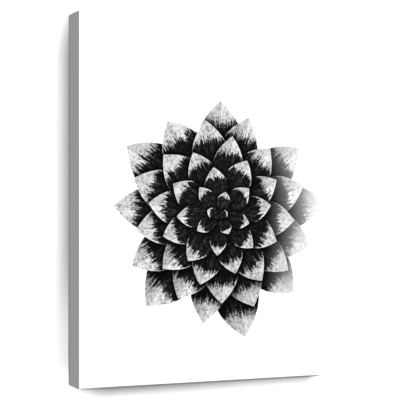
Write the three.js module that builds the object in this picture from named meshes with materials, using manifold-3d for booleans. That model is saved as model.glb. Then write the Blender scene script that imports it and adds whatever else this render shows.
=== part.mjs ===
// A gallery-wrapped canvas print, 12 by 16 inches on bars 1.5 inches deep: one printed canvas sheet stretched
// over four mitred pine bars and stapled at the back, with V-nailed corners, a sawtooth hanger and two bumpers.
// Millimetres. Seen from the front, +X is to the right and +Z is up; +Y points into the wall.
// The origin is where the hanger's middle notch bears on the wall's nail, in the plane of the wall.
import * as THREE from "three";
import { mergeVertices } from "three/addons/utils/BufferGeometryUtils.js";
import Module from "manifold-3d";

const wasm = await Module();
wasm.setup();

// The picture
const WIDTH = 304.8;
const HEIGHT = 406.4;
const DEPTH = 38.1; // from the picture's face to the back of the turned-over canvas
const WALL_GAP = 3.2; // from the back of the canvas to the wall
const HANG_DROP = 21; // from the top edge down to the wall's nail

// The canvas sheet
const SHEET = 0.5;
const EDGE_RADIUS = 1.2; // the sheet's outside, where it turns over the bars
const TURN_OVER = 22; // width of the margin stapled to the back
const TUCK = 38; // how far the folded corner reaches along the top or bottom edge
const TUCK_RISE = 0.6; // the folded layers' height over the single sheet
const TUCK_START = 5; // from the picture's face to the fold's tip

// The stretcher bars
const FIT = 0.1; // between the sheet and the wood
const BAR_WIDTH = 35;
const BEAD_WIDTH = 6; // flat rim that the sheet bears on
const BEVEL_DROP = 3.4; // how far the bar's face falls back from the sheet at its inner edge
const BAR_RADIUS = 0.9;
const MITRE_GAP = 0.2; // taken off each end along the bar

// The fastenings
const STAPLE = { crown: 10.6, leg: 8, thick: 0.7, wide: 1.2 };
const STAPLE_LINE = 13; // from the picture's edge to the row of staples
const STAPLE_ROWS = { level: [30, 68, 104], upright: [0, 50, 100, 150] };
const CORNER_STAPLE = { along: 17, across: 8 }; // from the two edges of a corner
const STAPLE_SLANTS = [1.5, -2, 0.5, -1, 2.5, -0.5, 1]; // degrees, as a hand-held gun leaves them
const VNAIL = { leg: 5, thick: 0.6, deep: 10, sunk: 0.3 };
const VNAIL_INSETS = { outer: 12, inner: 29 }; // from both outer edges of the wood to the V's point
const HOLE_ROOM = 0.3; // round whatever is driven into the wood or through the sheet
const TOUCH = 0.05; // between a fitting and the canvas that it sits on

// The hanger and its two nails
const HANGER = { length: 44, top: 9.2, thick: 0.8, tab: 6.5, ramp: 2, wallGap: 0.5, corner: 3 };
const TOOTH = { pitch: 2.8, deep: 1.8, perSide: 4 };
const NAIL = { head: 1.9, headThick: 0.75, shank: 0.65, length: 12, across: 18.6, up: 3.7 };
const NAIL_HOLE = 1;

// The bumpers
const BUMPER = { radius: 4.8, flat: 3.3, across: 122, up: 11 };

const BACK_Y = -WALL_GAP;
const FRONT_Y = BACK_Y - DEPTH;
const WOOD_BACK_Y = BACK_Y - SHEET - FIT;
const CENTRE_Z = HANG_DROP - HEIGHT / 2;
const RIGHT_ANGLE = Math.PI / 2;
const CORNERS = [
  { name: "top_right", x: 1, z: 1 },
  { name: "top_left", x: -1, z: 1 },
  { name: "bottom_right", x: 1, z: -1 },
  { name: "bottom_left", x: -1, z: -1 },
];

const CANVAS = new THREE.MeshStandardMaterial({ color: 0xf3f3f1, roughness: 0.85, metalness: 0 });
const PINE = new THREE.MeshStandardMaterial({ color: 0xd9b98a, roughness: 0.7, metalness: 0 });
const STEEL = new THREE.MeshStandardMaterial({ color: 0xa9abad, roughness: 0.35, metalness: 1 });
const BRASS = new THREE.MeshStandardMaterial({ color: 0xc2a25a, roughness: 0.35, metalness: 1 });
const RUBBER = new THREE.MeshStandardMaterial({ color: 0x2a2a2b, roughness: 0.8, metalness: 0 });

// Solids

/** A closed geometry, placed by a matrix, as a solid that can be joined and cut. */
function solidOf(geometry, matrix = new THREE.Matrix4()) {
  const bare = new THREE.BufferGeometry();
  const source = geometry.index ? geometry.toNonIndexed() : geometry;
  bare.setAttribute("position", source.getAttribute("position").clone());
  const merged = mergeVertices(bare.applyMatrix4(matrix), 1e-3);
  return new wasm.Manifold(
    new wasm.Mesh({
      numProp: 3,
      vertProperties: merged.attributes.position.array,
      triVerts: new Uint32Array(merged.index.array),
    }),
  );
}

function geometryOf(solid) {
  const { vertProperties, triVerts } = solid.getMesh();
  const geometry = new THREE.BufferGeometry();
  geometry.setAttribute("position", new THREE.BufferAttribute(vertProperties, 3));
  geometry.setIndex(new THREE.BufferAttribute(triVerts, 1));
  return geometry;
}

/** An outline of [x, z] points, extruded along Y between two levels. */
function slab(points, lowY, highY) {
  const shape = new THREE.Shape(points.map(([x, z]) => new THREE.Vector2(x, z)));
  const geometry = new THREE.ExtrudeGeometry(shape, { depth: highY - lowY, bevelEnabled: false });
  return geometry.rotateX(RIGHT_ANGLE).translate(0, highY, 0);
}

function rectangle(halfWidth, halfHeight) {
  return [
    [-halfWidth, -halfHeight],
    [halfWidth, -halfHeight],
    [halfWidth, halfHeight],
    [-halfWidth, halfHeight],
  ];
}

function named(name, geometry, material) {
  const mesh = new THREE.Mesh(geometry, material);
  mesh.name = name;
  return mesh;
}

/** Cuts a shape, which stands in the same frame as the mesh, out of the mesh's geometry. */
function drill(mesh, tool, placed) {
  mesh.updateMatrix();
  placed.updateMatrix();
  const toMesh = mesh.matrix.clone().invert().multiply(placed.matrix);
  const cut = solidOf(mesh.geometry).subtract(solidOf(tool, toMesh));
  mesh.geometry = geometryOf(cut);
}

// The canvas: the sheet's wrap is the space between two round-edged blocks, open at the back inside the margin.

/** The block that the sheet wraps, grown or shrunk: sharp corners seen from the front, edges rounded. */
function wrapBlock(inset) {
  const radius = EDGE_RADIUS - inset;
  const outline = rectangle(WIDTH / 2 - EDGE_RADIUS, HEIGHT / 2 - EDGE_RADIUS);
  const shape = new THREE.Shape(outline.map(([x, z]) => new THREE.Vector2(x, z)));
  const block = new THREE.ExtrudeGeometry(shape, {
    depth: DEPTH - 2 * EDGE_RADIUS,
    bevelSize: radius,
    bevelThickness: radius,
    bevelSegments: 3,
  });
  return block.rotateX(RIGHT_ANGLE).translate(0, BACK_Y - EDGE_RADIUS, 0);
}

/** Where a corner's folded layers lie: a triangle along the top or bottom edge, and a mitred end on the back. */
function tuckRegion(corner) {
  const right = WIDTH / 2;
  const top = HEIGHT / 2;
  const beyond = 2 * TUCK_RISE;
  const edge = new THREE.Shape(
    [
      [right, FRONT_Y + TUCK_START],
      [right, BACK_Y + beyond],
      [right - TUCK, BACK_Y + beyond],
    ].map(([x, y]) => new THREE.Vector2(corner.x * x, y)),
  );
  const edgeGeometry = new THREE.ExtrudeGeometry(edge, { depth: EDGE_RADIUS + beyond, bevelEnabled: false });
  const low = corner.z > 0 ? top - EDGE_RADIUS : -top - beyond;
  const back = [
    [right, top + beyond],
    [right, top],
    [right - TURN_OVER, top - TURN_OVER],
    [right - TUCK, top - TURN_OVER],
    [right - TUCK, top + beyond],
  ].map(([x, z]) => [corner.x * x, corner.z * z]);
  return solidOf(edgeGeometry.translate(0, 0, low)).add(
    solidOf(slab(back, BACK_Y - EDGE_RADIUS, BACK_Y + beyond)),
  );
}

function canvasSheet() {
  const inside = solidOf(wrapBlock(SHEET));
  const raised = solidOf(wrapBlock(-TUCK_RISE));
  const window = rectangle(WIDTH / 2 - TURN_OVER, HEIGHT / 2 - TURN_OVER);
  let wrap = solidOf(wrapBlock(0));
  for (const corner of CORNERS) {
    wrap = wrap.add(raised.intersect(tuckRegion(corner)));
  }
  const open = wrap.subtract(inside).subtract(solidOf(slab(window, BACK_Y - SHEET - 1, BACK_Y + 1)));
  return named("canvas", geometryOf(open), CANVAS);
}

// The stretcher bars: one moulded section, sheared to a mitre at both ends.

/** The moulding's section: x from its outer edge inwards, y from its back towards the picture (negative). */
function barSection() {
  const deep = DEPTH - 2 * (SHEET + FIT);
  const section = new THREE.Shape();
  section.moveTo(BAR_WIDTH, 0);
  section.lineTo(BAR_RADIUS, 0);
  section.absarc(BAR_RADIUS, -BAR_RADIUS, BAR_RADIUS, RIGHT_ANGLE, Math.PI, false);
  section.lineTo(0, -deep + BAR_RADIUS);
  section.absarc(BAR_RADIUS, -deep + BAR_RADIUS, BAR_RADIUS, Math.PI, 3 * RIGHT_ANGLE, false);
  section.lineTo(BEAD_WIDTH, -deep);
  section.lineTo(BAR_WIDTH, -deep + BEVEL_DROP);
  return section;
}

/** A bar lying along X with its outer edge upwards, turned about the picture's centre to its own side. */
function bar(name, turn, halfSpan, halfLength) {
  const outer = halfSpan - SHEET - FIT;
  const end = halfLength - SHEET - FIT - MITRE_GAP;
  const geometry = new THREE.ExtrudeGeometry(barSection(), { depth: 2, bevelEnabled: false, curveSegments: 3 });
  geometry.rotateY(RIGHT_ANGLE).translate(-1, 0, 0); // the section's x now points down, and its length along X
  const position = geometry.getAttribute("position");
  for (let i = 0; i < position.count; i++) {
    const fromOuter = -position.getZ(i);
    position.setX(i, Math.sign(position.getX(i)) * (end - fromOuter));
  }
  const mesh = named(name, geometry.translate(0, WOOD_BACK_Y, outer), PINE);
  mesh.rotation.y = turn;
  return mesh;
}

// The fastenings

function stapleGeometry() {
  const { crown, leg, thick, wide } = STAPLE;
  const half = crown / 2;
  const outline = new THREE.Shape(
    [
      [-half, thick],
      [-half, -leg],
      [-half + thick, -leg],
      [-half + thick, 0],
      [half - thick, 0],
      [half - thick, -leg],
      [half, -leg],
      [half, thick],
    ].map(([x, y]) => new THREE.Vector2(x, y)),
  );
  return new THREE.ExtrudeGeometry(outline, { depth: wide, bevelEnabled: false }).translate(0, 0, -wide / 2);
}

/** The hole of one leg, longer than the leg at both ends. */
function stapleHole(side) {
  const { crown, leg, thick, wide } = STAPLE;
  const hole = new THREE.BoxGeometry(thick + 2 * HOLE_ROOM, leg + 1, wide + 2 * HOLE_ROOM);
  return hole.translate(side * (crown / 2 - thick / 2), -leg / 2, 0);
}

/** Where every staple sits, seen from the picture's centre: its name, place, turn and the layers under it. */
function stapleSeats() {
  const seats = [];
  const slant = (i) => THREE.MathUtils.degToRad(STAPLE_SLANTS[i % STAPLE_SLANTS.length]);
  for (const [edge, side] of [["top", 1], ["bottom", -1]]) {
    const places = STAPLE_ROWS.level.flatMap((x) => [-x, x]).sort((a, b) => a - b);
    places.forEach((x, i) => {
      const z = side * (HEIGHT / 2 - STAPLE_LINE);
      seats.push({ name: `${edge}_${i + 1}`, x, z, turn: side * slant(i), rise: 0 });
    });
  }
  for (const [edge, side] of [["left", -1], ["right", 1]]) {
    const places = [...new Set(STAPLE_ROWS.upright.flatMap((z) => [-z, z]))].sort((a, b) => a - b);
    places.forEach((z, i) => {
      const x = side * (WIDTH / 2 - STAPLE_LINE);
      seats.push({ name: `${edge}_${i + 1}`, x, z, turn: RIGHT_ANGLE - side * slant(i), rise: 0 });
    });
  }
  for (const corner of CORNERS) {
    seats.push({
      name: corner.name,
      x: corner.x * (WIDTH / 2 - CORNER_STAPLE.along),
      z: corner.z * (HEIGHT / 2 - CORNER_STAPLE.across),
      turn: (-corner.x * corner.z * Math.PI) / 4,
      rise: TUCK_RISE,
    });
  }
  return seats;
}

function staple(seat) {
  const mesh = named(`staple_${seat.name}`, stapleGeometry(), STEEL);
  mesh.position.set(seat.x, BACK_Y + seat.rise + TOUCH, seat.z);
  mesh.rotation.y = seat.turn;
  return mesh;
}

/** A corner's V-nail or, with room, its slot: two legs that run off the mitre into the two bars. */
function vnailOutline(corner, inset, room) {
  const { leg, thick } = VNAIL;
  const far = leg + room;
  const inner = thick + room;
  const point = [WIDTH / 2 - SHEET - FIT - inset, HEIGHT / 2 - SHEET - FIT - inset];
  return [
    [-room, -room],
    [far, -room],
    [far, inner],
    [inner, inner],
    [inner, far],
    [-room, far],
  ].map(([x, z]) => [corner.x * (point[0] - x), corner.z * (point[1] - z)]);
}

function vnail(corner, place) {
  const top = WOOD_BACK_Y - VNAIL.sunk;
  const outline = vnailOutline(corner, VNAIL_INSETS[place], 0);
  return named(`vnail_${corner.name}_${place}`, slab(outline, top - VNAIL.deep, top), STEEL);
}

function vnailSlot(corner, place) {
  const outline = vnailOutline(corner, VNAIL_INSETS[place], HOLE_ROOM);
  return slab(outline, WOOD_BACK_Y - VNAIL.sunk - VNAIL.deep - HOLE_ROOM, WOOD_BACK_Y + HOLE_ROOM);
}

// The hanger: a strip bent to stand off the frame, with teeth cut in its lower edge.

function hanger() {
  const { length, top, thick, tab, ramp, wallGap, corner } = HANGER;
  const seat = BACK_Y + TOUCH;
  const raised = -wallGap - thick;
  const half = length / 2;
  const foot = half - tab;
  const crest = foot - ramp;
  const slant = thick / 3; // moves the bends so that the strip keeps its thickness on the slope
  const under = [
    [-half, seat],
    [-foot + slant, seat],
    [-crest + slant, raised],
    [crest - slant, raised],
    [foot - slant, seat],
    [half, seat],
  ];
  const over = [
    [half, seat + thick],
    [foot, seat + thick],
    [crest, raised + thick],
    [-crest, raised + thick],
    [-foot, seat + thick],
    [-half, seat + thick],
  ];
  const profile = new THREE.Shape([...under, ...over].map(([x, y]) => new THREE.Vector2(x, y)));
  const height = top + TOOTH.deep;
  const strip = new THREE.ExtrudeGeometry(profile, { depth: height, bevelEnabled: false });
  const face = new THREE.Shape();
  face.moveTo(-half + corner, -TOOTH.deep);
  face.absarc(half - corner, corner - TOOTH.deep, corner, -RIGHT_ANGLE, 0, false);
  face.absarc(half - corner, top - corner, corner, 0, RIGHT_ANGLE, false);
  face.absarc(-half + corner, top - corner, corner, RIGHT_ANGLE, Math.PI, false);
  face.absarc(-half + corner, corner - TOOTH.deep, corner, Math.PI, 3 * RIGHT_ANGLE, false);
  const blank = new THREE.ExtrudeGeometry(face, { depth: WALL_GAP + 2, bevelEnabled: false, curveSegments: 5 });
  blank.rotateX(RIGHT_ANGLE).translate(0, 1, 0);
  let plate = solidOf(strip.translate(0, 0, -TOOTH.deep)).intersect(solidOf(blank));
  for (let i = -TOOTH.perSide; i <= TOOTH.perSide; i++) {
    const middle = i * TOOTH.pitch;
    const notch = [
      [middle, 0],
      [middle - TOOTH.pitch / 2, -TOOTH.deep - 0.1],
      [middle + TOOTH.pitch / 2, -TOOTH.deep - 0.1],
    ];
    plate = plate.subtract(solidOf(slab(notch, BACK_Y, 1)));
  }
  return named("hanger", geometryOf(plate), BRASS);
}

function hangerNail(side) {
  const { head, headThick, shank, length } = NAIL;
  const profile = [
    [0, -length],
    [shank, -length + 2],
    [shank, 0],
    [head, 0],
    [head, headThick * 0.5],
    [head * 0.7, headThick * 0.9],
    [0, headThick],
  ].map(([r, y]) => new THREE.Vector2(r, y));
  const mesh = named(`hanger_nail_${side < 0 ? "left" : "right"}`, new THREE.LatheGeometry(profile, 12), STEEL);
  mesh.position.set(side * NAIL.across, BACK_Y + TOUCH + HANGER.thick + TOUCH, NAIL.up);
  return mesh;
}

function bumper(side) {
  const high = WALL_GAP - TUCK_RISE - TOUCH;
  const { radius, flat } = BUMPER;
  const profile = new THREE.Path();
  profile.moveTo(0, 0);
  profile.lineTo(radius, 0);
  profile.lineTo(radius, high * 0.3);
  profile.quadraticCurveTo(radius, high, flat, high);
  profile.lineTo(0, high);
  const mesh = named(
    `bumper_${side < 0 ? "left" : "right"}`,
    new THREE.LatheGeometry(profile.getPoints(5), 20),
    RUBBER,
  );
  mesh.position.set(side * BUMPER.across, BACK_Y + TUCK_RISE + TOUCH, -HEIGHT / 2 + BUMPER.up);
  return mesh;
}

// The assembly. Everything but the hanger and its nails is placed from the picture's centre.
const frame = new THREE.Group();
frame.position.z = CENTRE_Z;

const canvas = canvasSheet();
const bars = [
  bar("bar_top", 0, HEIGHT / 2, WIDTH / 2),
  bar("bar_right", RIGHT_ANGLE, WIDTH / 2, HEIGHT / 2),
  bar("bar_bottom", 2 * RIGHT_ANGLE, HEIGHT / 2, WIDTH / 2),
  bar("bar_left", -RIGHT_ANGLE, WIDTH / 2, HEIGHT / 2),
];
frame.add(canvas, ...bars);

for (const seat of stapleSeats()) {
  const made = staple(seat);
  frame.add(made);
  const side = seat.name.split("_")[0];
  for (const leg of [-1, 1]) {
    drill(canvas, stapleHole(leg), made);
    drill(bars.find((b) => b.name === `bar_${side}`), stapleHole(leg), made);
  }
}

for (const corner of CORNERS) {
  for (const place of Object.keys(VNAIL_INSETS)) {
    frame.add(vnail(corner, place));
    for (const side of corner.name.split("_")) {
      drill(bars.find((b) => b.name === `bar_${side}`), vnailSlot(corner, place), new THREE.Object3D());
    }
  }
}

const plate = hanger();
const root = new THREE.Group();
root.add(frame, plate);
for (const side of [-1, 1]) {
  const nail = hangerNail(side);
  const hole = new THREE.CylinderGeometry(NAIL_HOLE, NAIL_HOLE, 2 * NAIL.length + 2, 12);
  const fromCentre = nail.clone();
  fromCentre.position.z -= CENTRE_Z;
  drill(canvas, hole, fromCentre);
  drill(bars[0], hole, fromCentre);
  drill(plate, hole, nail);
  root.add(nail);
  frame.add(bumper(side));
}

export default root;
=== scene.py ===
# A gallery-wrapped canvas print on a pine stretcher frame, hung a few millimetres off a white wall.
# Metres, +Z up. The picture faces -Y, +X is to its right, and +Y points into the wall.
import math

import bmesh
import bpy
import numpy as np
from mathutils import Matrix, Vector
from mathutils.geometry import delaunay_2d_cdt
from mathutils.kdtree import KDTree


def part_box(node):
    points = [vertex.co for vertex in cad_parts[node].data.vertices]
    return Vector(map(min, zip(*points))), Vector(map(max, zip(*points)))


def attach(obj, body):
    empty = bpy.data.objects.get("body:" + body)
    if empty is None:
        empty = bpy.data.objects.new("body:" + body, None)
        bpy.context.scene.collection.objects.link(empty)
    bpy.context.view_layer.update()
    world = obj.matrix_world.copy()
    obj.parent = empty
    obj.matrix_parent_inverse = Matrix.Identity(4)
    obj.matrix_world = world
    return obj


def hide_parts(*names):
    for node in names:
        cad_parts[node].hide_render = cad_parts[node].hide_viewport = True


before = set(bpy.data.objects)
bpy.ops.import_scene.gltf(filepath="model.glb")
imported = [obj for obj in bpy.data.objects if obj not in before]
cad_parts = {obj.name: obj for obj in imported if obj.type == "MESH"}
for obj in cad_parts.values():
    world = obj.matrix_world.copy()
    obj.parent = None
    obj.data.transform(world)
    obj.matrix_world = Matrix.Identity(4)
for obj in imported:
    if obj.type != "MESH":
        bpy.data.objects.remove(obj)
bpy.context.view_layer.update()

# Stretcher bars
# Four lengths of planed pine moulding, mitred where they meet. Behind a flat bead at its outer edge the front
# of each bar slopes away, so that the stretched cloth touches wood only round its rim.
MM = 0.001
BEAD_WIDTH = 6 * MM
BEVEL_DROP = 3.4 * MM
OUTER_EASE = 0.9 * MM
INNER_EASE = 1.1 * MM
NAIL_STEEL = 0.6 * MM
NAIL_SLOT_ROOM = 0.15 * MM
SLOT_OVERCUT = 1 * MM
HAIR = 0.01 * MM
EARLY_WOOD = (0.74, 0.55, 0.33, 1)
LATE_WOOD = (0.55, 0.34, 0.16, 1)
KNOT_BROWN = (0.24, 0.11, 0.045, 1)
KNOT_RADIUS = 2.6 * MM
GRAIN_STRETCH = 0.045
WANDER_SCALE = 42
FIBRE_SCALE = 1500
RING_SCALE = 68
RING_SHIFT = (0.03, 0.03, 0.03)
LATE_WOOD_POWER = 2.6
GRAIN_DEPTH = 0.15 * MM

bar_left_low, bar_left_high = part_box("bar_left")
bar_top_low, bar_top_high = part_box("bar_top")
PICTURE_CENTRE = Vector((0, 0, (bar_left_low[2] + bar_left_high[2]) / 2))
FRAME_HALF_WIDTH = -bar_left_low[0]
FRAME_HALF_HEIGHT = bar_top_high[2] - PICTURE_CENTRE.z
WOOD_FRONT_Y = bar_top_low[1]
WOOD_BACK_Y = bar_top_high[1]
CORNERS = [(x, z) for z in (1, -1) for x in (1, -1)]


def new_material(name):
    """A material with its node tree and its Principled shader."""
    material = bpy.data.materials.new(name)
    material.use_nodes = True
    return material, material.node_tree, material.node_tree.nodes["Principled BSDF"]


def add_node(tree, kind, settings=None, **sockets):
    """A shader node with its settings; a socket takes a number, a colour or another node's output."""
    node = tree.nodes.new("ShaderNode" + kind)
    for key, value in (settings or {}).items():
        setattr(node, key, value)
    for key, value in sockets.items():
        socket = node.inputs[int(key[1:]) if key[1:].isdigit() else key.replace("_", " ")]
        if isinstance(value, bpy.types.NodeSocket):
            tree.links.new(value, socket)
        else:
            socket.default_value = value
    return node


def calc(tree, operation, a, b=0.0, c=0.0):
    """One step of arithmetic in a node tree."""
    return add_node(tree, "Math", {"operation": operation}, i0=a, i1=b, i2=c).outputs[0]


def remap(tree, value, low, high, to_low=0.0, to_high=1.0):
    """A smooth step between two levels."""
    sockets = {"Value": value, "From_Min": low, "From_Max": high, "To_Min": to_low, "To_Max": to_high}
    return add_node(tree, "MapRange", {"interpolation_type": "SMOOTHSTEP"}, **sockets).outputs[0]


def colour_mix(tree, share, a, b):
    """One colour blended into another."""
    settings = {"data_type": "RGBA", "clamp_factor": True}
    return add_node(tree, "Mix", settings, i0=share, i6=a, i7=b).outputs[2]


def grow_noise(tree, vector, scale, detail=3.0, roughness=0.5):
    """Cloudy noise of one grain size."""
    sockets = {"Vector": vector, "Scale": scale, "Detail": detail, "Roughness": roughness}
    return add_node(tree, "TexNoise", **sockets).outputs["Fac"]


def pine(name, along, offset, knot):
    """Flat-sawn pine with its grain along one axis and the rings of a far-off pith, bent round one knot."""
    material, tree, shader = new_material(name)
    place = add_node(tree, "TexCoord").outputs["Object"]
    stretch = tuple(GRAIN_STRETCH if axis == along else 1 for axis in "XYZ")
    fibre_place = add_node(tree, "Mapping", Vector=place, Location=offset, Scale=stretch).outputs[0]
    wander = grow_noise(tree, fibre_place, WANDER_SCALE, 2)
    fibres = grow_noise(tree, fibre_place, FIBRE_SCALE, 4, 0.7)

    through = add_node(tree, "Mapping", Vector=place, Scale=(1, 0, 1)).outputs[0]
    from_knot = add_node(tree, "VectorMath", {"operation": "DISTANCE"}, i0=through, i1=knot).outputs["Value"]
    swirl = remap(tree, from_knot, KNOT_RADIUS, 4 * KNOT_RADIUS, 0.3, 0)
    bend = calc(tree, "ADD", wander, swirl)
    shift = add_node(tree, "VectorMath", {"operation": "SCALE"}, i0=RING_SHIFT, Scale=bend).outputs[0]
    ring_place = add_node(tree, "VectorMath", {"operation": "ADD"}, i0=fibre_place, i1=shift).outputs[0]
    ring_settings = {"wave_type": "RINGS", "rings_direction": along, "wave_profile": "SAW"}
    ring_sockets = {"Vector": ring_place, "Scale": RING_SCALE, "Distortion": 0.6, "Detail": 2}
    rings = add_node(tree, "TexWave", ring_settings, **ring_sockets).outputs["Fac"]
    late = calc(tree, "POWER", rings, LATE_WOOD_POWER)

    tint = colour_mix(tree, calc(tree, "MULTIPLY", late, 0.9), EARLY_WOOD, LATE_WOOD)
    speckled = colour_mix(tree, remap(tree, fibres, 0.38, 0.72, 0, 0.32), tint, LATE_WOOD)
    ragged = calc(tree, "MULTIPLY_ADD", fibres, KNOT_RADIUS, from_knot)
    heart = remap(tree, ragged, KNOT_RADIUS, 2 * KNOT_RADIUS, 0.9, 0)
    tree.links.new(colour_mix(tree, heart, speckled, KNOT_BROWN), shader.inputs["Base Color"])
    height = calc(tree, "ADD", calc(tree, "MULTIPLY", fibres, 0.6), calc(tree, "MULTIPLY", late, 0.25))
    bump = add_node(tree, "Bump", Height=height, Strength=0.35, Distance=GRAIN_DEPTH).outputs[0]
    tree.links.new(bump, shader.inputs["Normal"])
    shader.inputs["Roughness"].default_value = 0.68
    shader.inputs["Specular IOR Level"].default_value = 0.3
    return material


def finished(name, bm, materials, slot, *nodes):
    """The bmesh as a piece on the root body, with its materials, that stands for these nodes."""
    mesh = bpy.data.meshes.new(name)
    bm.to_mesh(mesh)
    bm.free()
    piece = bpy.data.objects.new(name, mesh)
    bpy.context.scene.collection.objects.link(piece)
    for material in materials:
        mesh.materials.append(material)
    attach(piece, "root")
    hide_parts(*nodes)
    return piece


def shade_smooth(mesh, sharp_above_deg):
    """Smooth shading that keeps the sharp edges."""
    mesh.polygons.foreach_set("use_smooth", [True] * len(mesh.polygons))
    mesh.set_sharp_from_angle(angle=math.radians(sharp_above_deg))


def add_box(bm, low, high):
    """A box between two corners, and its vertices."""
    low, high = Vector(low), Vector(high)
    place = Matrix.Translation((low + high) / 2) @ Matrix.Diagonal((*(high - low), 1))
    return bmesh.ops.create_cube(bm, size=1, matrix=place)["verts"]


def stretcher_bar(side, turn, outer, half_length, material):
    """A bar made lying along X above the picture's centre, then turned about the centre to its own side."""
    width = bar_top_high[2] - bar_top_low[2]
    bm = bmesh.new()
    add_box(bm, (-half_length, WOOD_FRONT_Y, outer - width), (half_length, WOOD_BACK_Y, outer))
    everything = bm.verts[:] + bm.edges[:] + bm.faces[:]
    bead = (0, 0, outer - BEAD_WIDTH)
    bmesh.ops.bisect_plane(bm, geom=everything, plane_co=bead, plane_no=(0, 0, 1))
    for vert in bm.verts:
        from_outer = outer - vert.co.z
        vert.co.x = math.copysign(half_length - from_outer, vert.co.x)
        if from_outer > BEAD_WIDTH + MM and vert.co.y < WOOD_FRONT_Y + MM:
            vert.co.y += BEVEL_DROP
    bevel = {"affect": "EDGES", "segments": 3, "profile": 0.5, "material": -1, "clamp_overlap": True}
    for level, ease in ((outer, OUTER_EASE), (outer - width, INNER_EASE)):
        long_edges = [e for e in bm.edges if all(abs(v.co.z - level) < HAIR for v in e.verts)
                      and abs(e.verts[0].co.x - e.verts[1].co.x) > width]
        bmesh.ops.bevel(bm, geom=long_edges, offset=ease, **bevel)
    to_side = Matrix.Translation(PICTURE_CENTRE) @ Matrix.Rotation(turn, 4, "Y")
    bmesh.ops.transform(bm, matrix=to_side, verts=bm.verts)
    bmesh.ops.recalc_face_normals(bm, faces=bm.faces)
    return finished("pine_bar_" + side, bm, [material], "stretcher_wood", "bar_" + side)


def cut_nail_slots(bar, side):
    """Opens the wood over the legs of the V-nails that are driven across this bar's mitres."""
    cutter_bm = bmesh.new()
    for name in (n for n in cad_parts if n.startswith("vnail") and side in n.split("_")):
        low, high = (Vector(corner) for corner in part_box(name))
        right, top = ((low + high) / 2).x > 0, ((low + high) / 2).z > PICTURE_CENTRE.z
        thick = NAIL_STEEL + 2 * NAIL_SLOT_ROOM
        low -= Vector((NAIL_SLOT_ROOM,) * 3)
        high += Vector((NAIL_SLOT_ROOM, SLOT_OVERCUT, NAIL_SLOT_ROOM))
        level_z = (high.z - thick, high.z) if top else (low.z, low.z + thick)
        upright_x = (high.x - thick, high.x) if right else (low.x, low.x + thick)
        add_box(cutter_bm, (low.x, low.y, level_z[0]), (high.x, high.y, level_z[1]))
        add_box(cutter_bm, (upright_x[0], low.y, low.z), (upright_x[1], high.y, high.z))
    cutter_mesh = bpy.data.meshes.new("slot_cutter")
    cutter_bm.to_mesh(cutter_mesh)
    cutter_bm.free()
    cutter = bpy.data.objects.new("slot_cutter", cutter_mesh)
    bpy.context.scene.collection.objects.link(cutter)
    cut = bar.modifiers.new("slots", "BOOLEAN")
    cut.object, cut.solver, cut.use_self = cutter, "EXACT", True
    whole = bpy.data.meshes.new_from_object(bar.evaluated_get(bpy.context.evaluated_depsgraph_get()))
    bar.modifiers.clear()
    bar.data = whole
    bpy.data.objects.remove(cutter)


def make_bars():
    """Each side: its turn, its place and length, the way its grain runs, and its own grain and knot."""
    level = (FRAME_HALF_HEIGHT, bar_top_high[0])
    upright = (FRAME_HALF_WIDTH, bar_left_high[2] - PICTURE_CENTRE.z)
    quarter = math.pi / 2
    plan = (
        ("top", 0, level, "X", (0.02, 0.061, 0.225), (0.094, 0.172)),
        ("right", quarter, upright, "Z", (-0.21, 0.075, 0.4), (0.121, -0.061)),
        ("bottom", 2 * quarter, level, "X", (0.3, 0.083, 0.43), (-0.071, -0.176)),
        ("left", -quarter, upright, "Z", (0.2, 0.068, 0.1), (-0.126, 0.058)),
    )
    for side, turn, (outer, half_length), along, offset, (knot_x, knot_z) in plan:
        wood = pine("pine_" + side, along, offset, (knot_x, 0, PICTURE_CENTRE.z + knot_z))
        bar = stretcher_bar(side, turn, outer, half_length, wood)
        cut_nail_slots(bar, side)
        shade_smooth(bar.data, sharp_above_deg=30)


make_bars()

# V-nails
# Two V-shaped steel fasteners pressed into the back of each mitre, just below the surface of the wood. They
# hold the bars together and come ready made in bright zinc-plated steel.
STEEL_GREY = (0.56, 0.57, 0.58, 1)
STEEL_DULL = (0.36, 0.36, 0.37, 1)
DRAWN_MARKS_SCALE = 900
DRAWN_MARKS_DEPTH = 0.05 * MM
NAIL_EASE = 0.1 * MM


def metal(name, bright, dull, roughness, patch_scale, scratch):
    """Plated metal with cloudy patches and fine drawing marks."""
    material, tree, shader = new_material(name)
    place = add_node(tree, "TexCoord").outputs["Object"]
    patches = grow_noise(tree, place, patch_scale, 4, 0.6)
    tint = colour_mix(tree, remap(tree, patches, 0.35, 0.7), bright, dull)
    tree.links.new(tint, shader.inputs["Base Color"])
    tree.links.new(remap(tree, patches, 0.3, 0.7, roughness, roughness + 0.18), shader.inputs["Roughness"])
    drawn = add_node(tree, "Mapping", Vector=place, Scale=scratch).outputs[0]
    marks = grow_noise(tree, drawn, DRAWN_MARKS_SCALE, 2)
    bump = add_node(tree, "Bump", Height=marks, Strength=0.12, Distance=DRAWN_MARKS_DEPTH).outputs[0]
    tree.links.new(bump, shader.inputs["Normal"])
    shader.inputs["Metallic"].default_value = 1
    return material


ZINC_STEEL = metal("zinc_plated_steel", STEEL_GREY, STEEL_DULL,
                   roughness=0.3, patch_scale=700, scratch=(1, 1, 0.1))


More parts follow.
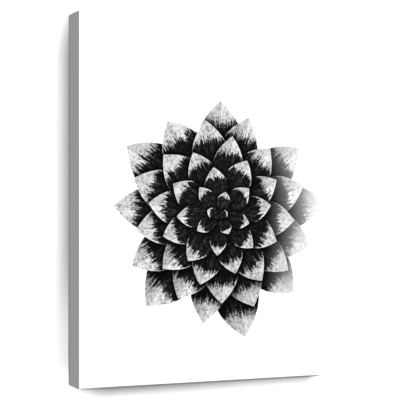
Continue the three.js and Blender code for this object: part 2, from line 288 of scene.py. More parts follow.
def softened_copy(node, name, material, slot, ease, segments=2):
    """A hardware node's own shape with its edges eased, standing for the node."""
    bm = bmesh.new()
    bm.from_mesh(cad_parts[node].data)
    bmesh.ops.remove_doubles(bm, verts=bm.verts, dist=0.002 * MM)
    bmesh.ops.dissolve_limit(bm, angle_limit=math.radians(1), verts=bm.verts, edges=bm.edges)
    sharp = [e for e in bm.edges if e.is_manifold and e.calc_face_angle() > math.radians(25)]
    bmesh.ops.bevel(bm, geom=sharp, offset=ease, segments=segments, profile=0.5, affect="EDGES",
                    material=-1, clamp_overlap=True)
    piece = finished(name, bm, [material], slot, node)
    shade_smooth(piece.data, sharp_above_deg=35)


for node_name in sorted(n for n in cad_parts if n.startswith("vnail")):
    softened_copy(node_name, "joint_" + node_name, ZINC_STEEL, "fastener_steel", NAIL_EASE)

# Canvas and its printed picture
# One sheet of woven cotton, primed white and printed: the picture on the face, a plain grey border round the
# sides with painted shade towards its rear fold, and an unprinted margin stapled to the back. At the corners
# the spare cloth is folded in along the top and bottom edges, where it lies three layers thick.
CLOTH = 0.5 * MM
CLOTH_GAP = 0.1 * MM
TURN_RADIUS = 1.2 * MM
TURN_STEPS = 4
BACK_MARGIN = 22 * MM
PRINTED_BLEED = 7 * MM
EDGE_WANDER = 0.45 * MM
# Painted shade along the grey border's rear fold: its depth, how far before the fold it is deepest, and its
# width.
FOLD_SHADE = 0.7
FOLD_SHADE_BEFORE = 1.5 * MM
FOLD_SHADE_WIDTH = 2.2 * MM
TUCK = 38 * MM
TUCK_RISE = 0.6 * MM
TUCK_START = 5 * MM
NEAR_TUCK = 1.2 * TUCK
NEAR_MARGIN = 1.2 * BACK_MARGIN
SEAM_CUTS = (-0.5 * MM, 0, 0.2 * MM)
SEAM_PLACES = (-5 * MM, -0.5 * MM, 0, 0.2 * MM)
SEAM_RISES = (0, 0.28 * MM, 0, TUCK_RISE)
CLOTH_CELL = 2.5 * MM
CLOSE = 0.1 * MM
THREAD_PAIR = 0.9 * MM
THREAD_STRETCH = 0.012
YARN_SCALE = 1000
WEAVE_DEPTH = 0.12 * MM
BORDER_GREY = (0.72, 0.72, 0.72, 1)
PRIMER_WHITE = (0.87, 0.87, 0.85, 1)
RAW_COTTON = (0.84, 0.79, 0.69, 1)

HALF_WIDTH = FRAME_HALF_WIDTH + CLOTH_GAP + CLOTH
HALF_HEIGHT = FRAME_HALF_HEIGHT + CLOTH_GAP + CLOTH
FACE_Y = WOOD_FRONT_Y - CLOTH_GAP - CLOTH
BACK_Y = WOOD_BACK_Y + CLOTH_GAP + CLOTH
FLAT_HALF_WIDTH = HALF_WIDTH - TURN_RADIUS
FLAT_HALF_HEIGHT = HALF_HEIGHT - TURN_RADIUS

# The picture is a rosette of pointed, frosted leaves in black and white. Each leaf turns on by the golden
# angle and reaches further out than the one before it, under which it lies.
LEAF_COUNT = 50
GOLDEN_ANGLE = math.radians(137.508)
ROSETTE_CENTRE = np.array([13, -18]) * MM
ROSETTE_REACH = 138 * MM
FIRST_TURN = 0.4
TURN_SCATTER = 0.035
LENGTH_SCATTER = 0.025
WIDTH_SCATTER = 0.05
LEAN_SCATTER = 0.04
LEAF_SLENDERNESS = 0.19
OUTLINE_STEPS = 14
EDGE_STEPS = 5
TO_LIGHT = np.array([-0.55, 0.83])
PALING_FROM = 70 * MM
PALING_WIDTH = 75 * MM
PAPER_TONE = 0.93
PALED_TONE = 0.75
TIP_TONE = 0.64
SPECK_TONE = 0.24
SKIN_TONES = (0.004, 0.045)
FROST_FROM = 1.03
FROST_FULL = 1.09
MOTTLE_SCALE = 400
dice = np.random.default_rng(7)


class Leaf:
    """One printed leaf: where it points, how long and wide it is, and how far out it lies."""

    def __init__(self, index):
        self.outwards = (index + 0.6) / LEAF_COUNT
        angle = FIRST_TURN + index * GOLDEN_ANGLE + dice.normal(0, TURN_SCATTER)
        tip = ROSETTE_REACH * self.outwards**0.6
        self.start = tip * (0.14 * self.outwards - 0.06)
        self.length = (tip - self.start) * (1 + dice.normal(0, LENGTH_SCATTER))
        wide = LEAF_SLENDERNESS * self.length + (3.4 + 5 * self.outwards) * MM
        self.half_width = wide * (1 + dice.normal(0, WIDTH_SCATTER))
        self.along = np.array([math.cos(angle), math.sin(angle)])
        self.across = np.array([-math.sin(angle), math.cos(angle)])
        self.lean = dice.normal(0, LEAN_SCATTER) - 0.14 * (self.across @ TO_LIGHT)

    def spread(self, share):
        """Half the leaf's width at a share of its length."""
        body = np.sin(np.pi / 2 * np.clip(share, 0, 1) ** 1.2) ** 0.6
        point = 1 - (1 - np.clip((1 - share) / 0.46, 0, 1)) ** 2.1
        return self.half_width * (0.32 + 0.68 * body) * point

    def local(self, points):
        """Each point as its share of the leaf's length and its place across the leaf."""
        away = points - ROSETTE_CENTRE
        return (away @ self.along - self.start) / self.length, away @ self.across

    def outline(self):
        """The leaf's closed outline, with more points towards its tip."""
        share = np.sin(np.linspace(0, np.pi / 2, OUTLINE_STEPS)) ** 1.3
        share[-1] = 1
        one_side = np.column_stack([share, -self.spread(share)])
        other_side = (one_side * (1, -1))[::-1][1:]
        shares = np.vstack([one_side, other_side])
        reach = self.start + shares[:, :1] * self.length
        return ROSETTE_CENTRE + reach * self.along + shares[:, 1:] * self.across

    def shade(self, points, edge_points):
        """The light that the leaves above, with edges through edge_points, leave at points on this one."""
        if not edge_points:
            return [1] * len(points)
        edges = KDTree(len(edge_points))
        for number, edge_point in enumerate(edge_points):
            edges.insert((*edge_point, 0), number)
        edges.balance()
        reach = (2.6 + 8 * self.outwards) * MM
        shades = []
        for point in points:
            nearest, _, gap = edges.find((*point, 0))
            facing = (np.array(nearest[:2]) - point) @ TO_LIGHT / max(gap, HAIR)
            shades.append(1 - math.exp(-((gap / reach / (0.6 + 0.9 * max(facing, 0))) ** 1.4)))
        return shades


leaves = [Leaf(index) for index in range(LEAF_COUNT)]


def picture_triangles():
    """The face cut along every leaf's outline: points, and triangles with their uppermost leaf or -1."""
    half = np.array([FLAT_HALF_WIDTH, FLAT_HALF_HEIGHT])
    columns, rows = (2 * half / CLOTH_CELL).round().astype(int)
    x, z = np.linspace(-half[0], half[0], columns + 1), np.linspace(-half[1], half[1], rows + 1)
    points = [(a, -half[1]) for a in x[:-1]] + [(half[0], b) for b in z[:-1]]
    points += [(a, half[1]) for a in x[:0:-1]] + [(-half[0], b) for b in z[:0:-1]]
    loops = [list(range(len(points)))]
    for leaf in leaves:
        outline = leaf.outline()
        loops.append(list(range(len(points), len(points) + len(outline))))
        points.extend(outline)
    inner = np.stack(np.meshgrid(x[1:-1], z[1:-1]), -1).reshape(-1, 2)
    points.extend(inner + dice.uniform(-0.25, 0.25, inner.shape) * CLOTH_CELL)
    vectors = [Vector(point) for point in points]
    made, _, faces, _, _, sources = delaunay_2d_cdt(vectors, [], loops, 1, 1e-7, True)
    kept = [(face, min((s - 1 for s in source if s > 0), default=-1))
            for face, source in zip(faces, sources) if 0 in source]
    return made, kept


def wrap_rings():
    """The wrap's rings from the face's border to the cut edge: how far out, how deep, and what shows."""
    arc = math.pi / 2 / TURN_STEPS
    turn = [(TURN_RADIUS * math.sin(step * arc), TURN_RADIUS * (1 - math.cos(step * arc)))
            for step in range(TURN_STEPS + 1)]
    rings = [(out, FACE_Y + drop, "picture" if drop < TURN_RADIUS / 2 else "border")
             for out, drop in turn[1:]]
    first, last = FACE_Y + TURN_RADIUS, BACK_Y - TURN_RADIUS
    rows = round((last - first) / CLOTH_CELL)
    rings += [(TURN_RADIUS, y, "border") for y in np.linspace(first, last, rows + 1)[1:]]
    rings += [(out, BACK_Y - drop, "border") for out, drop in turn[-2::-1]]
    flat = BACK_MARGIN - TURN_RADIUS
    inwards = np.linspace(0, flat, round(flat / CLOTH_CELL) + 1)[1:]
    return rings + [(-way, BACK_Y, "border" if way < PRINTED_BLEED else "margin") for way in inwards]


SKIN_PARTS = ("picture", "border", "margin")


def wrapped_skin():
    """The sheet's outer side: the picture's triangles, then ring after ring extruded from their border."""
    points, triangles = picture_triangles()
    bm = bmesh.new()
    leaf_layer = bm.faces.layers.int.new("leaf")
    way_layer = bm.verts.layers.float.new("way")
    verts = [bm.verts.new((point.x, FACE_Y, point.y)) for point in points]
    for corners, leaf in triangles:
        bm.faces.new([verts[i] for i in corners])[leaf_layer] = leaf + 1
    bmesh.ops.delete(bm, geom=[v for v in bm.verts if not v.link_faces], context="VERTS")
    edges = [e for e in bm.edges if e.is_boundary]
    last_out, last_y, way = 0.0, FACE_Y, 0.0
    for out, y, part in wrap_rings():
        made = bmesh.ops.extrude_edge_only(bm, edges=edges)["geom"]
        ring = [g for g in made if isinstance(g, bmesh.types.BMVert)]
        edges = [g for g in made if isinstance(g, bmesh.types.BMEdge) and g.is_boundary]
        grow_x = (FLAT_HALF_WIDTH + out) / (FLAT_HALF_WIDTH + last_out)
        grow_z = (FLAT_HALF_HEIGHT + out) / (FLAT_HALF_HEIGHT + last_out)
        bmesh.ops.scale(bm, vec=(grow_x, 1, grow_z), verts=ring)
        bmesh.ops.translate(bm, vec=(0, y - last_y, 0), verts=ring)
        way += math.hypot(out - last_out, y - last_y)
        last_out, last_y = out, y
        for vert in ring:
            vert[way_layer] = way
        for edge in edges:
            edge.link_faces[0].material_index = SKIN_PARTS.index(part)
    cut_by_hand(ring)
    return bm


def cut_by_hand(ring):
    """Lets the cut edge wander a little, as scissors leave it."""
    right, top = max(vert.co.x for vert in ring), max(vert.co.z for vert in ring)
    for vert in ring:
        x, z = vert.co.x, vert.co.z
        if abs(x) > right - CLOSE:
            vert.co.x += EDGE_WANDER * (math.sin(61 * z + x) + 0.6 * math.sin(149 * z))
        if abs(z) > top - CLOSE:
            vert.co.z += EDGE_WANDER * (math.sin(57 * x + z) + 0.6 * math.sin(137 * x))


def cut_across(bm, faces, point, normal):
    """Cuts faces by a plane, and gives all that they have become."""
    geom = {*faces, *(e for f in faces for e in f.edges), *(v for f in faces for v in f.verts)}
    cut = bmesh.ops.bisect_plane(bm, geom=list(geom), plane_co=point, plane_no=normal, dist=HAIR)
    return [part for part in cut["geom"] if isinstance(part, bmesh.types.BMFace)]


def fold_corners(bm):
    """Raises the folded layers at the four corners, on the top and bottom edges and on the back.

    The lower layer swells a little towards each seam and dips into it.
    """
    fold_start = Vector((HALF_WIDTH, FACE_Y + TUCK_START, 0))
    fold_end = Vector((HALF_WIDTH - TUCK, BACK_Y + 2 * TUCK_RISE, 0))
    fold = (fold_end - fold_start).normalized()
    inwards = Vector((fold.y, -fold.x, 0))
    corner, mitre = Vector((HALF_WIDTH, 0, HALF_HEIGHT)), Vector((-1, 0, 1)).normalized()
    flap_end, along = Vector((HALF_WIDTH - TUCK, 0, 0)), Vector((1, 0, 0))
    edge_cuts = [(fold_start + inwards * step, inwards) for step in SEAM_CUTS]
    back_cuts = [(corner + mitre * step, mitre) for step in SEAM_CUTS]
    back_cuts += [(flap_end + along * step, along) for step in SEAM_CUTS]
    for side, end in CORNERS:
        mirror = Matrix.Diagonal((side, 1, end))
        near = [f for f in bm.faces if (mirror @ f.calc_center_median()).x > HALF_WIDTH - NEAR_TUCK
                and (mirror @ f.calc_center_median()).z > HALF_HEIGHT - NEAR_MARGIN]
        edge_faces = [f for f in near if f.calc_center_median().z * end > FLAT_HALF_HEIGHT]
        back_faces = [f for f in near if f.calc_center_median().y > BACK_Y - CLOSE]
        for faces, cuts in ((edge_faces, edge_cuts), (back_faces, back_cuts)):
            for point, normal in cuts:
                faces = cut_across(bm, faces, mirror @ point, mirror @ normal)
        for vert in bm.verts:
            place = mirror @ vert.co
            if place.x < HALF_WIDTH - NEAR_TUCK or place.z < HALF_HEIGHT - NEAR_MARGIN:
                continue
            on_edge = min(max((place.z - FLAT_HALF_HEIGHT) / TURN_RADIUS, 0), 1)
            on_back = min(max((place.y - BACK_Y) / TURN_RADIUS + 1, 0), 1)
            past_fold = (place - fold_start).dot(inwards)
            past_seams = min((place - corner).dot(mitre), place.x - flap_end.x)
            vert.co.z += end * on_edge * np.interp(past_fold, SEAM_PLACES, SEAM_RISES)
            vert.co.y += on_back * np.interp(past_seams, SEAM_PLACES, SEAM_RISES)


def lay_out_cloth(bm):
    """Gives every corner of every face its place on the flat sheet, for the weave to follow."""
    cloth = bm.loops.layers.uv.new("cloth")
    way_layer = bm.verts.layers.float["way"]
    for face in bm.faces:
        middle = face.calc_center_median()
        upright = abs(middle.x) - FLAT_HALF_WIDTH > abs(middle.z) - FLAT_HALF_HEIGHT
        for loop in face.loops:
            x, z, way = loop.vert.co.x, loop.vert.co.z, loop.vert[way_layer]
            if way and upright:
                x = math.copysign(FLAT_HALF_WIDTH + way, middle.x)
            elif way:
                z = math.copysign(FLAT_HALF_HEIGHT + way, middle.z)
            loop[cloth].uv = (x, z)


def print_leaves(bm):
    """Stores at each corner of a leaf's faces its place on the leaf and what the ink needs to know."""
    leaf_layer = bm.faces.layers.int["leaf"]
    on_leaf = bm.loops.layers.uv.new("on_leaf")
    light = bm.loops.layers.float_vector.new("leaf_light")
    paling = bm.loops.layers.float.new("paling")
    inked = bm.loops.layers.float.new("inked")
    loops_of = [[] for _ in range(LEAF_COUNT + 1)]
    for face in bm.faces:
        loops_of[face[leaf_layer]].extend(face.loops)
    edge_points = []
    for leaf, loops in zip(leaves, loops_of[1:]):
        points = np.array([(loop.vert.co.x, loop.vert.co.z) for loop in loops]).reshape(-1, 2)
        share, across = leaf.local(points)
        rim = leaf.spread(share) - np.abs(across)
        shade = leaf.shade(points, edge_points)
        pale = np.clip((points[:, 0] - PALING_FROM) / PALING_WIDTH, 0, 1) * np.clip(2.5 * share - 1.5, 0, 1)
        for index, loop in enumerate(loops):
            loop[on_leaf].uv = (share[index], across[index] / MM)
            loop[light] = (shade[index], leaf.lean, rim[index] / MM)
            loop[paling] = pale[index]
            loop[inked] = 1
        outline = leaf.outline()
        step = (np.roll(outline, -1, 0) - outline) / EDGE_STEPS
        edge_points.extend(np.vstack([outline + step * count for count in range(EDGE_STEPS)]))


def weave(tree, shader, strength):
    """A plain weave of thick and thin threads that follows the cloth round its turns."""
    place = add_node(tree, "UVMap", {"uv_map": "cloth"}).outputs[0]
    stretches = ((1, THREAD_STRETCH, 1), (THREAD_STRETCH, 1, 1))
    drawn = [add_node(tree, "Mapping", Vector=place, Scale=stretch).outputs[0] for stretch in stretches]
    runs = [grow_noise(tree, run, YARN_SCALE, 2) for run in drawn]
    uneven = calc(tree, "MULTIPLY", calc(tree, "ADD", *runs), 0.5)
    turns = 2 * math.pi / THREAD_PAIR
    split = add_node(tree, "SeparateXYZ", Vector=place)
    waves = [calc(tree, "SINE", calc(tree, "MULTIPLY_ADD", split.outputs[axis], turns, uneven))
             for axis in (0, 1)]
    threads = calc(tree, "MULTIPLY", *waves)
    height = calc(tree, "MULTIPLY_ADD", threads, 0.5, uneven)
    bump = add_node(tree, "Bump", Height=height, Strength=strength, Distance=WEAVE_DEPTH).outputs[0]
    tree.links.new(bump, shader.inputs["Normal"])
    shader.inputs["Roughness"].default_value = 0.9
    shader.inputs["Specular IOR Level"].default_value = 0.12
    return threads, uneven


def fall_off(tree, distance, sharpness):
    """One where a distance is nought, and less and less either way from there."""
    square = calc(tree, "MULTIPLY", distance, distance)
    return calc(tree, "EXPONENT", calc(tree, "MULTIPLY", square, -sharpness))


def cloth_material(name, tint, contrast, strength, fold_shade=0.0):
    """Cloth of one tint, darker along thick threads, with painted shade between threads and towards its rear
    fold.
    """
    material, tree, shader = new_material(name)
    threads, uneven = weave(tree, shader, strength)
    # Painted shade in the weave's hollows, where its bump is lowest.
    hollow_shade = remap(tree, threads, -1, 0.6, contrast, 0)
    streaks = remap(tree, uneven, 0.38, 0.62, 0, 1.4 * contrast)
    dark = tuple(channel * 0.6 for channel in tint[:3]) + (1,)
    darkness = calc(tree, "ADD", hollow_shade, streaks)
    # Painted shade that is deepest just before the rear fold.
    if fold_shade:
        way = add_node(tree, "Attribute", {"attribute_name": "way"}).outputs["Fac"]
        from_fold = calc(tree, "SUBTRACT", way, BACK_Y - FACE_Y - FOLD_SHADE_BEFORE)
        near_fold = fall_off(tree, from_fold, FOLD_SHADE_WIDTH ** -2)
        darkness = calc(tree, "MULTIPLY_ADD", near_fold, fold_shade, darkness)
    tree.links.new(colour_mix(tree, darkness, tint, dark), shader.inputs["Base Color"])
    return material


def level_mix(tree, share, a, b):
    """One level blended into another."""
    return add_node(tree, "Mix", {"data_type": "FLOAT"}, i0=share, i2=a, i3=b).outputs[0]


def leaf_ink(tree):
    """The ink's tone on the leaves: near black, with pale speckled tips and edges, and dark under others."""
    place = add_node(tree, "TexCoord").outputs["Object"]
    on_leaf = add_node(tree, "SeparateXYZ", Vector=add_node(tree, "UVMap", {"uv_map": "on_leaf"}).outputs[0])
    share, across = on_leaf.outputs[0], on_leaf.outputs[1]
    light = add_node(tree, "Attribute", {"attribute_name": "leaf_light"}).outputs["Vector"]
    shade, lean, rim = add_node(tree, "SeparateXYZ", Vector=light).outputs

    own_place = add_node(tree, "CombineXYZ", X=across, Y=share, Z=calc(tree, "MULTIPLY", lean, 90)).outputs[0]
    fibre_place = add_node(tree, "Mapping", Vector=own_place, Scale=(0.55, 5, 1)).outputs[0]
    fibre = grow_noise(tree, fibre_place, 1, 4, 0.62)
    mottle = grow_noise(tree, place, MOTTLE_SCALE, 5, 0.68)
    edge_line = fall_off(tree, rim, 1.3)
    reach = calc(tree, "MULTIPLY_ADD", fibre, 0.36, share)
    reach = calc(tree, "MULTIPLY_ADD", mottle, 0.16, reach)
    reach = calc(tree, "MULTIPLY_ADD", edge_line, 0.1, reach)
    frost = remap(tree, reach, FROST_FROM, FROST_FULL)

    speckle = remap(tree, mottle, 0.35, 0.56, SPECK_TONE, TIP_TONE)
    furrows = remap(tree, fibre, 0.3, 0.6, 0.78, 1.05)
    pale = calc(tree, "MULTIPLY_ADD", edge_line, 0.14 * TIP_TONE, calc(tree, "MULTIPLY", speckle, furrows))
    dark = remap(tree, calc(tree, "MULTIPLY", fibre, mottle), 0.22, 0.4, *SKIN_TONES)
    half = calc(tree, "MINIMUM", calc(tree, "MAXIMUM", calc(tree, "MULTIPLY", across, 0.4), -1), 1)
    facing = calc(tree, "MULTIPLY_ADD", half, lean, 0.88)
    rib = calc(tree, "MULTIPLY_ADD", fall_off(tree, across, 2), -0.25, 1)
    tone = calc(tree, "MULTIPLY", level_mix(tree, frost, dark, pale), facing)
    return calc(tree, "MULTIPLY", tone, calc(tree, "MULTIPLY", rib, shade))


def picture_material():
    """The printed face: the leaves' ink, which pales towards the right, on bare white."""
    material, tree, shader = new_material("printed_picture")
    weave(tree, shader, 0.25)
    shader.inputs["Specular IOR Level"].default_value = 0.04
    paling = add_node(tree, "Attribute", {"attribute_name": "paling"}).outputs["Fac"]
    inked = add_node(tree, "Attribute", {"attribute_name": "inked"}).outputs["Fac"]
    printed = level_mix(tree, inked, PAPER_TONE, level_mix(tree, paling, leaf_ink(tree), PALED_TONE))
    tree.links.new(printed, shader.inputs["Base Color"])
    return material


def make_canvas():
    """The whole sheet, folded, printed and given its thickness inwards."""
    bm = wrapped_skin()
    fold_corners(bm)
    lay_out_cloth(bm)
    print_leaves(bm)
    bmesh.ops.translate(bm, vec=PICTURE_CENTRE, verts=bm.verts)
    materials = [
        picture_material(),
        # The grey border carries painted shade towards its rear fold.
        cloth_material("printed_grey_border", BORDER_GREY, contrast=0.08, strength=0.25,
                       fold_shade=FOLD_SHADE),
        cloth_material("primed_white_margin", PRIMER_WHITE, contrast=0.1, strength=0.35),
        cloth_material("raw_cotton_back", RAW_COTTON, contrast=0.16, strength=0.6),
    ]
    canvas = finished("printed_canvas", bm, materials, "canvas", "canvas")
    shade_smooth(canvas.data, sharp_above_deg=35)
    thick = canvas.modifiers.new("cloth_thickness", "SOLIDIFY")
    thick.thickness, thick.offset, thick.use_even_offset = CLOTH, -1, True
    thick.material_offset = thick.material_offset_rim = len(SKIN_PARTS)


make_canvas()

# Staples
# Bright steel staples shot through the margin into the bars, a little askew as a hand-held gun leaves them,
# with one across the folded layers at each corner.
STAPLE_EASE = 0.2 * MM

for node_name in sorted(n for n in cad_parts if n.startswith("staple")):
    softened_copy(node_name, "bright_" + node_name, ZINC_STEEL, "fastener_steel", STAPLE_EASE, segments=3)

# Hanger
# A toothed strip stamped from thin brass-plated steel. Its middle stands clear of the frame so that the teeth
# can hook over a nail in the wall, and a nail through each end holds it to the top bar.
BRASS_YELLOW = (0.72, 0.53, 0.22, 1)
BRASS_DULL = (0.52, 0.36, 0.14, 1)
HANGER_EASE = 0.14 * MM
HEAD_HEIGHT = 0.75 * MM
HEAD_RIM = 0.28 * MM
SHANK_RADIUS = 0.65 * MM
POINT_LENGTH = 2 * MM
NAIL_SIDES = 32
DOME_STEPS = 6

BRASS = metal("brass_plating", BRASS_YELLOW, BRASS_DULL,
              roughness=0.26, patch_scale=260, scratch=(0.1, 1, 1))
softened_copy("hanger", "sawtooth_hanger", BRASS, "hanger_brass", HANGER_EASE)


def spun(profile, centre, steps):
    """A bmesh turned about the Y axis through a point, from a profile of radius and depth."""
    bm = bmesh.new()
    verts = [bm.verts.new((centre.x + radius, depth, centre.z)) for radius, depth in profile]
    edges = [bm.edges.new(pair) for pair in zip(verts, verts[1:])]
    bmesh.ops.spin(bm, geom=verts + edges, cent=centre, axis=(0, 1, 0), angle=2 * math.pi, steps=steps,
                   use_merge=True, use_duplicate=False)
    bmesh.ops.remove_doubles(bm, verts=bm.verts, dist=0.001 * MM)
    bmesh.ops.recalc_face_normals(bm, faces=bm.faces)
    return bm


def hanger_nail(side):
    """A round-headed nail with a shallow dome, a thin rim and a pointed shank."""
    low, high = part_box("hanger_nail_" + side)
    centre = Vector(((low[0] + high[0]) / 2, 0, (low[2] + high[2]) / 2))
    head = (high[0] - low[0]) / 2
    seat = high[1] - HEAD_HEIGHT
    profile = [(0, low[1]), (SHANK_RADIUS, low[1] + POINT_LENGTH), (SHANK_RADIUS, seat), (head, seat)]
    profile.append((head, seat + HEAD_RIM))
    for step in range(1, DOME_STEPS + 1):
        angle = math.pi / 2 * step / DOME_STEPS
        dome = (high[1] - seat - HEAD_RIM) * math.sin(angle)
        profile.append((head * math.cos(angle), seat + HEAD_RIM + dome))
    profile[-1] = (0, high[1])
    bm = spun(profile, centre, NAIL_SIDES)
    nail = finished("domed_nail_" + side, bm, [ZINC_STEEL], "fastener_steel", "hanger_nail_" + side)
    shade_smooth(nail.data, sharp_above_deg=40)


for hand in ("left", "right"):
    hanger_nail(hand)

# Bumpers
# Two soft rubber domes stuck to the folded corners at the bottom. They keep the picture parallel to the wall
# and stop it from marking the paint.
RUBBER_BLACK = (0.022, 0.022, 0.024, 1)
DUST_GREY = (0.12, 0.12, 0.12, 1)
BUMPER_FLAT = 3.3 * MM
BUMPER_EASE = 0.15 * MM
BUMPER_STRAIGHT_SHARE = 0.35
BUMPER_SIDES = 48


def rubber():
    """Matt black rubber with a little dust on it."""
    material, tree, shader = new_material("black_rubber")
    place = add_node(tree, "TexCoord").outputs["Object"]
    dust = grow_noise(tree, place, 500, 4, 0.7)
    tint = colour_mix(tree, remap(tree, dust, 0.5, 0.8, 0, 0.25), RUBBER_BLACK, DUST_GREY)
    tree.links.new(tint, shader.inputs["Base Color"])
    bump = add_node(tree, "Bump", Height=grow_noise(tree, place, 4000, 2), Strength=0.2, Distance=0.03 * MM)
    tree.links.new(bump.outputs[0], shader.inputs["Normal"])
    shader.inputs["Roughness"].default_value = 0.62
    return material


def bumper(side, material):
    """A dome on a short straight wall, flat on top where it bears on the room's wall."""
    low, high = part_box("bumper_" + side)
    centre = Vector(((low[0] + high[0]) / 2, 0, (low[2] + high[2]) / 2))
    radius, tall = (high[0] - low[0]) / 2, high[1] - low[1]
    profile = [(0, low[1]), (radius - BUMPER_EASE, low[1]), (radius, low[1] + BUMPER_EASE)]
    wall_top = low[1] + BUMPER_STRAIGHT_SHARE * tall
    for step in range(DOME_STEPS + 1):
        angle = math.pi / 2 * step / DOME_STEPS
        out = BUMPER_FLAT + (radius - BUMPER_FLAT) * math.cos(angle)
        profile.append((out, wall_top + (high[1] - wall_top) * math.sin(angle)))
    profile.append((0, high[1]))
    piece = finished("rubber_bumper_" + side, spun(profile, centre, BUMPER_SIDES), [material],
                     "bumper_rubber", "bumper_" + side)
    shade_smooth(piece.data, sharp_above_deg=40)


BLACK_RUBBER = rubber()
for hand in ("left", "right"):
    bumper(hand, BLACK_RUBBER)

# Wall, floor, light and camera
# A white wall that shows only from its front, with painted shadow on patches of it behind and just under the
# picture, and a pale floor well below. One large soft lamp up to the right, four small spots that thin out
# the ends of the shadow on the wall, a weak lamp behind, and a level camera to the left of the picture.
WALL_WHITE = (0.93, 0.93, 0.93, 1)
# Painted shadow on the wall's patches: its grey, and the deeper grey towards the picture's right-hand side.
SHADE_GREY = (0.61, 0.61, 0.61, 1)
SHADE_GREY_AT_END = (0.4, 0.4, 0.4, 1)
FLOOR_PALE = (0.62, 0.62, 0.61, 1)
WALL_SIZE = 8.0
SHADE_AWAY = 0.2 * MM
SHADE_LOW = -7.7 * MM - HALF_HEIGHT
SHADE_RIGHT = HALF_WIDTH + 12 * MM
# Each patch of painted shadow: its name, left, right, low and high.
WALL_SHADES = (
    ("shade_behind", 0.7 * MM - HALF_WIDTH, HALF_WIDTH, -HALF_HEIGHT, HALF_HEIGHT),
    ("shade_under", 15.5 * MM - HALF_WIDTH, HALF_WIDTH, SHADE_LOW, -HALF_HEIGHT),
    ("shade_end", HALF_WIDTH, SHADE_RIGHT, SHADE_LOW, SHADE_LOW + 1.8 * MM),
)
SHADE_DEEPENS = (HALF_WIDTH - 9 * MM, HALF_WIDTH + 2 * MM)
SHADE_ENDS = (HALF_WIDTH + 3 * MM, SHADE_RIGHT)
FLOOR_BELOW = 1.35
SKY_STRENGTH = 0.45
LAMP_AWAY = Vector((0.36, -2.2, 0.6))
LAMP_WIDTH = 1.2
LAMP_HEIGHT = 0.68
LAMP_POWER = 58
REAR_LAMP_AWAY = Vector((0, 2.2, 1.0))
REAR_LAMP_SIZE = 0.4
REAR_LAMP_POWER = 12
# Each spot's name, its corner of the picture, its place and its aim from there, its size, the width of its
# beam in degrees, and its power.
WALL_SPOTS = (
    ("low_left_spot", (-1, -1), (-0.02, -0.21, 1.167), (0.014, 0, -0.013), 0.008, 2.9, 150),
    ("low_corner_spot", (-1, -1), (-0.4, -0.5, -0.4), (0.0, 0, -0.014), 0.016, 3.9, 29),
    ("high_left_spot", (-1, 1), (-0.6, -0.55, 0), (-0.03, 0, 0.018), 0.02, 7.6, 22),
    ("low_right_spot", (1, -1), (0.5, -0.5, -0.5), (0.036, 0, -0.01), 0.04, 24, 11),
)
CAMERA_TURN = math.radians(22.612)
CAMERA_FROM_EDGE = Vector((-419.02, -1343.98)) * MM
CAMERA_BELOW_CENTRE = 0.15 * MM
CAMERA_LENS = 117.44
CAMERA_REACH = 50


def matt_paint(name):
    """Paint without any gloss, still without its colour."""
    material, tree, shader = new_material(name)
    shader.inputs["Roughness"].default_value = 0.95
    shader.inputs["Specular IOR Level"].default_value = 0
    return material, tree, shader


def clear_from_behind(tree, shader):
    """Makes a painted surface see-through from its rear side."""
    clear = add_node(tree, "BsdfTransparent").outputs[0]
    behind = add_node(tree, "NewGeometry").outputs["Backfacing"]
    mixed = add_node(tree, "MixShader", i0=behind, i1=shader.outputs[0], i2=clear).outputs[0]
    tree.links.new(mixed, tree.nodes["Material Output"].inputs["Surface"])


def floor_paint():
    """The floor's pale grey."""
    material, _, shader = matt_paint("floor_pale")
    shader.inputs["Base Color"].default_value = FLOOR_PALE
    return material


def wall_paint():
    """The wall's white, which shows from the front alone."""
    material, tree, shader = matt_paint("wall_white")
    shader.inputs["Base Color"].default_value = WALL_WHITE
    clear_from_behind(tree, shader)
    return material


def shaded_wall_paint():
    """Painted shadow for the wall's patches, deeper near the picture's right-hand side and ending softly past
    it.
    """
    material, tree, shader = matt_paint("painted_wall_shade")
    place = add_node(tree, "TexCoord").outputs["Object"]
    across = add_node(tree, "SeparateXYZ", Vector=place).outputs[0]
    shade = colour_mix(tree, remap(tree, across, *SHADE_DEEPENS), SHADE_GREY, SHADE_GREY_AT_END)
    tint = colour_mix(tree, remap(tree, across, *SHADE_ENDS), shade, WALL_WHITE)
    tree.links.new(tint, shader.inputs["Base Color"])
    clear_from_behind(tree, shader)
    return material


def backdrop(name, place, width, height, material):
    """A flat stage surface."""
    bm = bmesh.new()
    to_size = Matrix.Diagonal((width, height, 1, 1))
    bmesh.ops.create_grid(bm, x_segments=1, y_segments=1, size=0.5, matrix=place @ to_size)
    mesh = bpy.data.meshes.new(name)
    bm.to_mesh(mesh)
    bm.free()
    mesh.materials.append(material)
    surface = bpy.data.objects.new(name, mesh)
    bpy.context.scene.collection.objects.link(surface)
    return surface


def dress_stage():
    """Sets up the floor, the wall and its patches of painted shadow, and gives the wall and its patches."""
    floor_z = PICTURE_CENTRE.z - HALF_HEIGHT - FLOOR_BELOW
    backdrop("floor", Matrix.Translation((0, 0, floor_z)), WALL_SIZE, WALL_SIZE, floor_paint())
    upright = Matrix.Rotation(math.pi / 2, 4, "X")
    middle = Matrix.Translation((0, 0, floor_z + WALL_SIZE / 2))
    surfaces = [backdrop("wall", middle @ upright, WALL_SIZE, WALL_SIZE, wall_paint())]
    shaded = shaded_wall_paint()
    for name, left, right, low, high in WALL_SHADES:
        patch_centre = Vector(((left + right) / 2, -SHADE_AWAY, (low + high) / 2))
        place = Matrix.Translation(PICTURE_CENTRE + patch_centre)
        surfaces.append(backdrop(name, place @ upright, right - left, high - low, shaded))
    for surface in surfaces:
        surface.visible_shadow = False
        surface.visible_diffuse = False
        surface.visible_glossy = False
    return surfaces


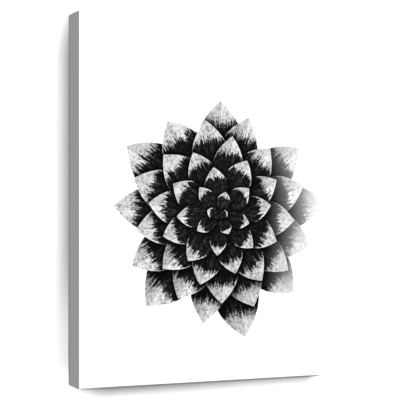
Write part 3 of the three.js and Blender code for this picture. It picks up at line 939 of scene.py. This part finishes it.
def lamp(name, away, width, height, power):
    """A soft lamp some way from the picture's centre, turned to face it."""
    light = bpy.data.lights.new(name, "AREA")
    light.shape, light.size, light.size_y, light.energy = "RECTANGLE", width, height, power
    holder = bpy.data.objects.new(name, light)
    holder.location = PICTURE_CENTRE + away
    holder.rotation_euler = away.to_track_quat("Z", "Y").to_euler()
    bpy.context.scene.collection.objects.link(holder)


def wall_spot(name, corner, away, aim, size, beam_deg, power, wall_surfaces):
    """A small spot that lights the wall alone, and the painted-shadow patches too if the spot is at the left.
    """
    foot = PICTURE_CENTRE + Vector((corner[0] * HALF_WIDTH, 0, corner[1] * HALF_HEIGHT))
    light = bpy.data.lights.new(name, "SPOT")
    light.energy, light.spot_size, light.spot_blend = power, math.radians(beam_deg), 1
    light.shadow_soft_size = size
    holder = bpy.data.objects.new(name, light)
    holder.location = foot + Vector(away)
    holder.rotation_euler = (Vector(away) - Vector(aim)).to_track_quat("Z", "Y").to_euler()
    bpy.context.scene.collection.objects.link(holder)
    lit_by_spot = bpy.data.collections.new("lit_by_" + name)
    at_left = corner[0] < 0
    for surface in wall_surfaces if at_left else wall_surfaces[:1]:
        lit_by_spot.objects.link(surface)
    holder.light_linking.receiver_collection = lit_by_spot


def light_stage(wall_surfaces):
    """A soft white sky, the two lamps and the spots on the wall."""
    scene = bpy.context.scene
    world = bpy.data.worlds.new("soft_sky")
    world.use_nodes = True
    world.node_tree.nodes["Background"].inputs["Color"].default_value = (1, 1, 1, 1)
    world.node_tree.nodes["Background"].inputs["Strength"].default_value = SKY_STRENGTH
    scene.world = world
    scene.view_settings.view_transform = "Standard"
    lamp("front_lamp", LAMP_AWAY, LAMP_WIDTH, LAMP_HEIGHT, LAMP_POWER)
    lamp("rear_lamp", REAR_LAMP_AWAY, REAR_LAMP_SIZE, REAR_LAMP_SIZE, REAR_LAMP_POWER)
    for spot in WALL_SPOTS:
        wall_spot(*spot, wall_surfaces)


def place_camera():
    """A level camera turned to the right, at a place measured from the face's left edge."""
    camera = bpy.data.objects.new("camera", bpy.data.cameras.new("camera"))
    camera.data.lens = CAMERA_LENS
    camera.data.clip_end = CAMERA_REACH
    camera.location = (
        -HALF_WIDTH + CAMERA_FROM_EDGE.x,
        FACE_Y + CAMERA_FROM_EDGE.y,
        PICTURE_CENTRE.z - CAMERA_BELOW_CENTRE,
    )
    camera.rotation_euler = (math.pi / 2, 0, -CAMERA_TURN)
    bpy.context.scene.collection.objects.link(camera)
    bpy.context.scene.camera = camera


light_stage(dress_stage())
place_camera()
